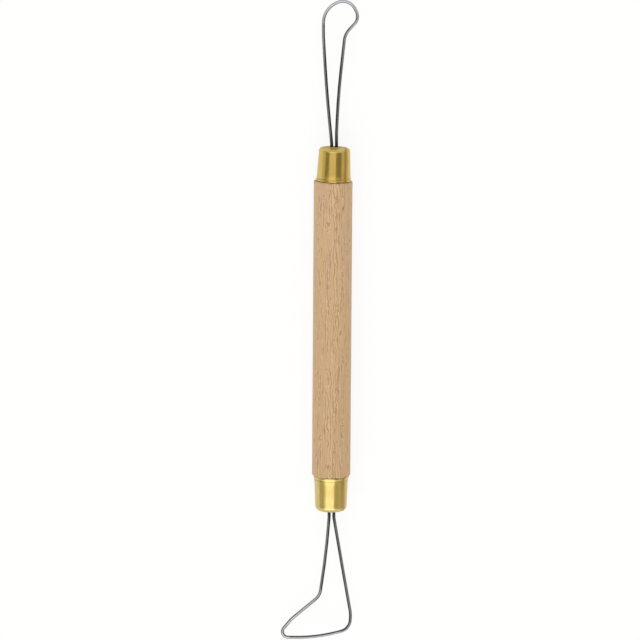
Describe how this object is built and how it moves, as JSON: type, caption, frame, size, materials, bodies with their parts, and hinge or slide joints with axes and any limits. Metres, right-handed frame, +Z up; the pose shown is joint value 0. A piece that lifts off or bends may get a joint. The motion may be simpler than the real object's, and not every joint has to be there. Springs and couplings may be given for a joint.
{
  "type": "double-ended loop tool",
  "caption": "Clay and wax loop tool: round wooden handle with a brass ferrule at each end, holding a hook-shaped and a foot-shaped loop of steel wire.",
  "frame": {"origin": "on the table the tool lies on, under the middle of the handle", "axes": "+X along the tool from the foot loop to the hook loop, +Y to the side the foot's toe points to, +Z up; both loops lie level, on the handle's axis"},
  "size_m": [0.202, 0.023, 0.012],
  "materials": {
    "beech": "fine-sanded, thin clear sealer",
    "brass": "drawn and polished, lightly toned",
    "steel_wire": "drawn wire, bright",
    "set_adhesive": "hard, slightly glossy"
  },
  "bodies": {
    "root": {"handle": "beech", "ferrule_hook_end": "brass", "ferrule_foot_end": "brass", "hook_loop": "steel_wire", "foot_loop": "steel_wire", "adhesive_plug_hook_end": "set_adhesive", "adhesive_plug_foot_end": "set_adhesive"}
  },
  "joints": []
}
